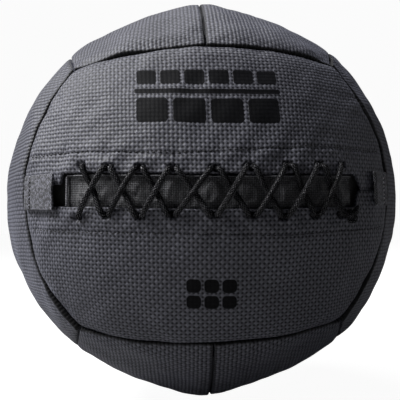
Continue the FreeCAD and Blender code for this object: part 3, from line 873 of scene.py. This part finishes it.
# Plain printed marks on the front panels: (centre, size, corner radius) in mm along and across the panel
BLOCKS = [((-45.5 + 17.6 * index, 85.5), (14.6, 12.4), 2.2) for index in range(6)]
BLOCKS += [((-1.5, 73.0), (106, 4.2), 1.6)]
BLOCKS += [((-41.5 + 26.6 * index, 57.5), (23.0, 19.5), 3.2) for index in range(4)]
DOTS = [((-14.0 + 12.6 * column, 67.5 + 12.6 * row), (10.4, 10.4), 3.4)
        for column in range(3) for row in range(2)]

SETTLED = settle_cloth()
plain_covers = {"front": cover_material("woven_cover"),
                "top": cover_material("woven_cover_ribbed_along", (), (0.33, 0.67)),
                "side": cover_material("woven_cover_ribbed_across", (), (0.70, 0.30))}
printed_covers = {"front_upper": cover_material("woven_cover_printed_blocks", BLOCKS),
                  "front_lower": cover_material("woven_cover_printed_dots", DOTS)}
# The smaller a face's number, the wider the band of painted shade beside its seams
SEAM_SHADE_SCALES = {"front": 0.7, "back": 0.32, "top": 0.5, "bottom": 0.5, "left": 0.24, "right": 0.24}
for face_name, (_, _, half_names, face_kind) in FACES.items():
    for half_name in half_names:
        key = f"{face_name}_{half_name}"
        spacing = 0.6 if face_name == "front" else 1.0
        made_points, made_uvs, made_edges = panel_points(face_name, half_name, spacing)
        panel = sheet(f"{key}_cover", made_points, made_uvs, {"edge": made_edges * SEAM_SHADE_SCALES[face_name]})
        dress(panel, printed_covers.get(key, plain_covers[face_kind]), "woven_cover", f"{key}_panel")


# -------------------- opening, lace and tabs
def tongue_lift(azimuth, reach):
    """The tongue's lift off the cover's outer face, in mm: it sits low and swells between the laces."""
    (start, end), (low, high) = TONGUE_ENDS, TONGUE_EDGES
    swell = sample(SETTLED["tongue"], (azimuth - start) / (end - start), (reach - low) / (high - low))
    return -5.0 + np.clip(swell, -0.5, 3.6)


def cloth_strip(name, azimuth, reach, lift, thickness, turned=False):
    """A thin strip of cloth over a grid of azimuths and reaches, at that lift off the cover."""
    azimuth, reach = np.broadcast_arrays(azimuth, reach)
    outer, inner = front_place(azimuth, reach, lift), front_place(azimuth, reach, lift - thickness)
    uvs = [reach, azimuth * ARC_MM] if turned else [azimuth * ARC_MM, reach]
    return slab_sheet(name, outer, inner, np.stack(uvs, axis=2))


def make_tongue():
    azimuth, reach = np.meshgrid(np.linspace(*TONGUE_ENDS, 320), np.linspace(*TONGUE_EDGES, 44), indexing="ij")
    high = TONGUE_EDGES[1]
    lift = tongue_lift(azimuth, reach) + 0.35 * ripple(front_place(azimuth, reach, 0 * azimuth), 55, 11)
    lift += 0.9 * smooth(reach, high - 1.2, high - 0.3) + 0.5 * np.exp(-((azimuth - TONGUE_ENDS[0]) / 0.8) ** 2)
    return cloth_strip("lacing_tongue_cloth", azimuth, reach, lift, 1.5)


def make_facing():
    """The cloth that closes off the opening behind the tongue, near-black as painted shade for the opening's
    depth.
    """
    azimuth, reach = np.meshgrid(np.linspace(-52, 52, 180), np.linspace(-19, 19, 30), indexing="ij")
    lift = -7.6 + 0.3 * ripple(front_place(azimuth, reach, 0 * azimuth), 66, 14)
    return cloth_strip("opening_shade_facing", azimuth, reach, lift, 0.8)


def lace_path(first):
    """One strand: it zigzags from hole to hole, and at each hole it dives under the hem and comes up again."""
    turn, under, crossings = 0.72, -6.0, 8
    sign = {"upper": 1, "lower": -1}
    other = {"upper": "lower", "lower": "upper"}
    half = first
    points = [(HOLES[half][0][0] + turn, sign[half] * (HOLES[half][0][1] + 0.5), under)]
    for index in range(crossings):
        (here, start), (there, end) = HOLES[half][index], HOLES[other[half]][index + 1]
        here, there, start, end = here + turn, there - turn, sign[half] * start, -sign[half] * end
        # The runs that rise to the right pass over the others
        middle, between = (3.3, 3.2) if half == "lower" else (-0.6, 0.9)
        profile = [(0.0, -1.5), (0.03, 2.3), (0.13, 2.5), (0.28, between), (0.40, middle), (0.5, middle),
                   (0.60, middle), (0.72, between), (0.87, 2.5), (0.97, 2.3), (1.0, -1.5)]
        for share, lift in profile:
            points.append((here + (there - here) * share, start + (end - start) * share, lift))
        points.append((there, end * 1.03, under))
        if index < crossings - 1:
            points.append((there + 2 * turn, end * 1.03, under))
        half = other[half]
    return chaikin(front_place(*np.array(points).T), 3)


def knot_paths():
    """The knot by the last lower hole, a pressed trefoil, and the tail that comes out of the hole over it."""
    hole, hole_reach = HOLES["lower"][-1]
    turns = np.linspace(0, 2 * math.pi, 90)
    azimuth = hole + 2.4 + (np.sin(turns) + 2 * np.sin(2 * turns)) * 0.5
    reach = -hole_reach - 0.6 + (np.cos(turns) - 2 * np.cos(2 * turns)) * 1.4
    loops = front_place(azimuth, reach, 3.3 - 1.5 * np.sin(3 * turns))
    tail = np.array([(-1.2, 0.0, -4.0), (-0.8, -0.5, 2.0), (1.0, -0.6, 3.4), (2.6, 1.5, 3.4), (4.0, 4.0, 2.6),
                     (5.0, 5.6, 2.2)]) + (hole, -hole_reach, 0)
    return [loops, chaikin(front_place(*tail.T), 3)]


def stitch_rows(name, centre_line, length=2.9, gap=1.5, radius=0.36):
    """Separate stitches along a line of points on the cloth. Each arcs over it and dives in at its ends."""
    line, marks = resample(centre_line, 0.1)
    outward = unit(line)
    vertices, faces, first = [], [], 0
    sections, around = 7, 6
    start = gap / 2
    rng = np.random.default_rng(5)
    while start + length < marks[-1]:
        share = np.linspace(0, 1, sections)
        at = start + share * (length + rng.uniform(-0.15, 0.15))
        centre = np.stack([np.interp(at, marks, line[:, axis]) for axis in range(3)], axis=1)
        normal = unit(np.stack([np.interp(at, marks, outward[:, axis]) for axis in range(3)], axis=1))
        rise = (-0.7 + 1.15 * np.sin(math.pi * share) ** 0.5) * MM
        centre = centre + normal * rise[:, None]
        side = unit(np.cross(normal, np.gradient(centre, axis=0)))
        centre = centre + side * rng.uniform(-0.12, 0.12) * MM
        angle = np.linspace(0, 2 * math.pi, around, endpoint=False)
        ring = np.cos(angle)[None, :, None] * side[:, None] + np.sin(angle)[None, :, None] * normal[:, None]
        vertices.append((centre[:, None] + radius * MM * ring).reshape(-1, 3))
        faces += grid_faces(sections, around, closed_columns=True, first=first).tolist()
        faces += [list(range(first, first + around))[::-1],
                  list(range(first + (sections - 1) * around, first + sections * around))]
        first += sections * around
        start += length + gap
    return mesh_object(name, np.concatenate(vertices), faces)


def make_hem(half):
    """The webbing strip behind a lip, just under the cover, and the row of stitches that holds it."""
    sign = 1 if half == "upper" else -1
    azimuth, reach = np.linspace(-46, 46, 160)[:, None], np.linspace(21.5, 32.0, 12)[None, :] * sign
    strip = cloth_strip(f"{half}_hem_strip", azimuth, reach, -3.4, 1.2, turned=True)
    azimuth = np.linspace(-51.5, 51.5, 500)
    line = along_knots(azimuth, STITCH_LINES[half])
    shape = front_place(azimuth, sign * line, 0 * azimuth)
    seed = 100 + (0 if half == "upper" else 1)
    lift = hills(shape, seed) + front_relief(half, azimuth, line, shape)
    u = azimuth / FRONT_SPAN + 0.5
    start, stop = panel_range("front", half, u)
    across = (line / np.interp(u, COLUMN_U, COLUMN_LENGTH[half]) - start) / (stop - start)
    lift += sample(SETTLED[f"front_{half}"], u, across)
    stitches = stitch_rows(f"{half}_hem_stitches", front_place(azimuth, sign * line, lift + 0.15))
    return strip, stitches


def make_tab(side, fold, end, proud, middle):
    """A webbing tab from the side seam to its free end, which stands proud of the cover, the stitches over its
    fold, and the line of its free edge."""
    sign = -1 if side == "left" else 1
    azimuth = np.concatenate([np.linspace(53.9, fold + 1.4, 18), np.linspace(fold + 1.2, fold - 1.2, 13),
                              np.linspace(fold - 1.5, end, 26)])
    half_height = TAB_HEIGHT / 2
    reach = np.linspace(-half_height, half_height, 60)
    azimuth, reach = np.meshgrid(azimuth, reach, indexing="ij")
    free = smooth(-azimuth, 0.5 - fold, -end)
    lift = 2.2 + proud * free - 0.8 * np.exp(-((azimuth - fold - 0.5) / 0.45) ** 2)
    lift = lift + 0.35 * np.sin(reach * 0.35 + 1) * free
    lift -= 4.0 * smooth(azimuth, 53.1, 53.9)
    ribs = 0.06 * np.abs(np.sin(reach * math.pi / 1.3))
    rim = 1.1 * smooth(np.abs(reach), half_height - 0.7, half_height)
    outer = front_place(sign * azimuth, reach + middle, lift + ribs - 0.5 * rim)
    inner = front_place(sign * azimuth, reach + middle, lift - TAB_THICKNESS + 0.3 * rim)
    uvs = np.stack([sign * azimuth * ARC_MM, reach], axis=2)
    tab = slab_sheet(f"{side}_webbing_tab", outer, inner, uvs)
    line_reach = np.linspace(-half_height + 1, half_height - 1, 200)
    row = front_place(sign * (fold + 0.5), line_reach + middle, 1.65)
    stitches = stitch_rows(f"{side}_tab_stitches", row, length=2.2, gap=0.9, radius=0.42)
    edge_reach = np.linspace(-half_height + 0.6, half_height - 0.6, 120)
    edge = front_place(sign * (end - 0.1), edge_reach + middle, lift[-1, 30] - 0.1)
    return tab, stitches, edge


def make_tongue_highlight_cords():
    """A fine bound edge along the tongue's top and an overcast one down its left end, both lighter than the
    tongue: painted highlight on its edges.
    """
    low, high = TONGUE_EDGES
    azimuth = np.linspace(TONGUE_ENDS[0] + 0.4, TONGUE_ENDS[1] - 0.4, 400)
    top = front_place(azimuth, high + 0.15, -2.3 + 0.35 * ripple(front_place(azimuth, high, 0), 55, 11))
    reach = np.linspace(low + 0.5, high - 0.5, 80)
    end = front_place(TONGUE_ENDS[0] + 0.25, reach, -2.6)
    fine = {"carriers": 4, "twist": 0.7, "relief": 0.15, "around": 10, "spacing": 0.3}
    bold = {"carriers": 2, "twist": 0.55, "relief": 0.45, "around": 16, "spacing": 0.2}
    edge = tube_object("tongue_edge_highlight_cord", [top], 0.5, **fine)
    return edge, tube_object("tongue_end_highlight_cord", [end], 1.1, **bold)


webbing_finish = webbing_material("ribbed_webbing")
# Near-white thread for the right tab's stitches, where the same stitching on the left tab is near-black:
# painted highlight
glint_thread = thread_material("stitch_thread", (0.70, 0.70, 0.74))
dark_thread = thread_material("hem_thread", (0.012, 0.012, 0.015))
# Lighter than the tongue cloth: painted highlight along the tongue's top edge and left end
edge_highlight_finish = thread_material("tongue_edge_painted_highlight", (0.19, 0.19, 0.21))
# The lace is black; its light colour is painted highlight
lace_finish = cord_material("lace_cord", (0.34, 0.34, 0.37), (0.001, 0.001, 0.0013), 0.34)
tongue_finish = fine_cloth("tongue_cloth", (0.115, 0.116, 0.130), (0.004, 0.004, 0.005), 1.7, 0.3)
# Near-black: painted shade in the depth of the opening
facing_shade_finish = fine_cloth("facing_shade_cloth", (0.010, 0.010, 0.012), (0.002, 0.002, 0.003), 0.8, 0.2)

dress(make_facing(), facing_shade_finish, "tongue_cloth")
dress(make_tongue(), tongue_finish, "tongue_cloth", "lacing_tongue")
for piece in make_tongue_highlight_cords():
    dress(piece, edge_highlight_finish, "stitch_thread")
for strand, first_half in (("lace_upper_start", "upper"), ("lace_lower_start", "lower")):
    lace = tube_object(f"{strand}_braid", [lace_path(first_half)], LACE_RADIUS)
    dress(lace, lace_finish, "lace_cord", strand)
knot = tube_object("lace_knot_braid", knot_paths(), KNOT_RADIUS)
dress(knot, lace_finish, "lace_cord", "lace_knot")

for half_name in ("upper", "lower"):
    hem_strip, hem_stitches = make_hem(half_name)
    dress(hem_strip, webbing_finish, "webbing", f"{half_name}_hem_webbing")
    dress(hem_stitches, dark_thread, "stitch_thread", f"{half_name}_hem_stitch")

# Each tab: its side, its sign, the azimuths of its fold and its free end, how far that end stands proud and
# how far its middle is above the opening's, in mm, and its thread
TABS = (("left", -1, 50.0, 40.2, 1.9, -2.0, dark_thread), ("right", 1, 50.5, 45.4, 1.2, 1.4, glint_thread))
FOLD_HALF = 0.9  # where the hinge points sit on each side of a tab's fold, in degrees
for side_name, sign, fold_at, end_at, proud_by, middle_at, thread in TABS:
    tab, tab_stitches, free_edge = make_tab(side_name, fold_at, end_at, proud_by, middle_at)
    tab.data.materials.append(webbing_finish)
    hinge = [Vector(front_place(sign * (fold_at + offset), 0, 1.5)) for offset in (FOLD_HALF, -FOLD_HALF)]
    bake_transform(tab)
    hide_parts(f"{side_name}_tab_base", f"{side_name}_tab_flap")
    dress(tab_stitches, thread, "stitch_thread", f"{side_name}_tab_stitch")
    if side_name == "right":
        # A near-white cord along the right tab's free edge: its colour is painted highlight, the glint on that
        # edge
        braid = {"radius": 1.35, "carriers": 4, "twist": 1.3}
        relief = {"relief": 0.6, "around": 20, "spacing": 0.25}
        edge_cord = tube_object("right_tab_edge_glint_cord", [free_edge], **braid, **relief)
        edge_glint_finish = cord_material("tab_edge", (0.75, 0.75, 0.80), (0.01, 0.01, 0.012), 0.4, **braid)
        dress(edge_cord, edge_glint_finish, "webbing", body="right_flap")

# -------------------- the parts kept from CAD
INNER_FINISHES = {
    "seam_tape": crossed_material("seam_tape", (0.05, 0.05, 0.06), (0.01, 0.01, 0.012), 0.9, 0.2),
    # The foam is near-black as painted shade, so that the opening behind the lips looks dark
    "foam_pad": lumpy_material("foam", (0.035, 0.035, 0.037), (0.010, 0.010, 0.011), 700, 0.4, True),
    "liner_bag": crossed_material("liner_cloth", (0.30, 0.30, 0.32), (0.10, 0.10, 0.11), 0.7, 0.15),
    "fibre_filling": lumpy_material("fibre_filling", (0.75, 0.74, 0.70), (0.42, 0.41, 0.38), 240, 1.2),
    "core_bag": crossed_material("core_cloth", (0.36, 0.33, 0.27), (0.14, 0.12, 0.09), 1.1, 0.3),
    "core_granules": lumpy_material("core_granules", (0.32, 0.27, 0.20), (0.07, 0.05, 0.035), 900, 0.8, True),
    "core_tie": crossed_material("core_cord", (0.5, 0.47, 0.40), (0.2, 0.18, 0.14), 0.6, 0.2),
}
for node_name, node_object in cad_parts.items():
    for ending, finish in INNER_FINISHES.items():
        if node_name.endswith(ending):
            node_object.data.materials.clear()
            node_object.data.materials.append(finish)

# -------------------- floor, light and the camera
floor_look = Look("pale_floor", Roughness=0.9, Emission_Color=(1, 1, 1))
floor_rays = floor_look.add("ShaderNodeLightPath").outputs["Is Camera Ray"]
floor_look.shade(Base_Color=floor_look.mix(floor_rays, (0.25, 0.25, 0.25), (0.22, 0.22, 0.22)),
                 Emission_Strength=floor_look.times(floor_rays, 0.95))
FLOOR_HALF = 12.0
floor_corners = [(x * FLOOR_HALF, y * FLOOR_HALF, 0) for x, y in ((-1, -1), (1, -1), (1, 1), (-1, 1))]
floor_mesh = bpy.data.meshes.new("floor")
floor_mesh.from_pydata(floor_corners, [], [(0, 1, 2, 3)])
floor = link(bpy.data.objects.new("floor", floor_mesh))
floor.location.z = -RADIUS - 0.5 * MM
floor.data.materials.append(floor_look.material)

world = bpy.data.worlds.new("studio")
bpy.context.scene.world = world
world.use_nodes = True
tree = world.node_tree
background = next(node for node in tree.nodes if node.type == "BACKGROUND")
rays = tree.nodes.new("ShaderNodeLightPath")
shades = tree.nodes.new("ShaderNodeMix")
shades.data_type = "RGBA"
tree.links.new(rays.outputs["Is Camera Ray"], shades.inputs[0])
shades.inputs[6].default_value = (0.012, 0.012, 0.014, 1)  # the light that the world gives
shades.inputs[7].default_value = (0.965, 0.965, 0.965, 1)  # the backdrop that the camera sees
tree.links.new(shades.outputs[2], background.inputs["Color"])
background.inputs["Strength"].default_value = 1.0
bpy.context.scene.view_settings.view_transform = "Standard"


def area_light(name, azimuth, height, energy, distance=1.9, size=0.7):
    """A round lamp aimed at the ball. Its azimuth is in degrees from the front, negative to the left."""
    azimuth, height = math.radians(azimuth), math.radians(height)
    level = math.cos(height)
    place = Vector((math.sin(azimuth) * level, -math.cos(azimuth) * level, math.sin(height)))
    data = bpy.data.lights.new(name, "AREA")
    data.shape = "DISK"
    data.size = size
    data.energy = energy
    light = link(bpy.data.objects.new(name, data))
    light.location = place * distance
    light.rotation_euler = (-place).to_track_quat("-Z", "Y").to_euler()


LAMPS = {"key_high_left": (-60, 50, 34), "side_left": (-100, 40, 27), "top_back": (-170, 70, 9),
         "low_left": (-60, 15, 4), "right_fill": (100, 10, 1.6)}
for lamp_name, (lamp_azimuth, lamp_height, watts) in LAMPS.items():
    area_light(lamp_name, lamp_azimuth, lamp_height, watts)

# The camera is turned about the ball's centre: yaw about Z, then pitch about X, then roll about the view
CAMERA_DISTANCE = 3.6 * RADIUS
IMAGE_PIXELS, FOCAL_PIXELS = 400, 676
yaw, pitch, roll = (math.radians(value) for value in (2.5, -1.75, -1.55))
turn = Matrix.Rotation(roll, 3, "Y") @ Matrix.Rotation(pitch, 3, "X") @ Matrix.Rotation(yaw, 3, "Z")
turn.transpose()
camera_data = bpy.data.cameras.new("camera")
camera_data.sensor_width = 36
camera_data.lens = camera_data.sensor_width * FOCAL_PIXELS / IMAGE_PIXELS
camera_data.shift_x, camera_data.shift_y = -0.005, -0.0015
camera = link(bpy.data.objects.new("camera", camera_data))
basis = Matrix([turn @ Vector(way) for way in ((1, 0, 0), (0, 0, 1), (0, -1, 0))]).transposed()
camera.matrix_world = Matrix.Translation(turn @ Vector((0, -CAMERA_DISTANCE, 0))) @ basis.to_4x4()
bpy.context.scene.camera = camera
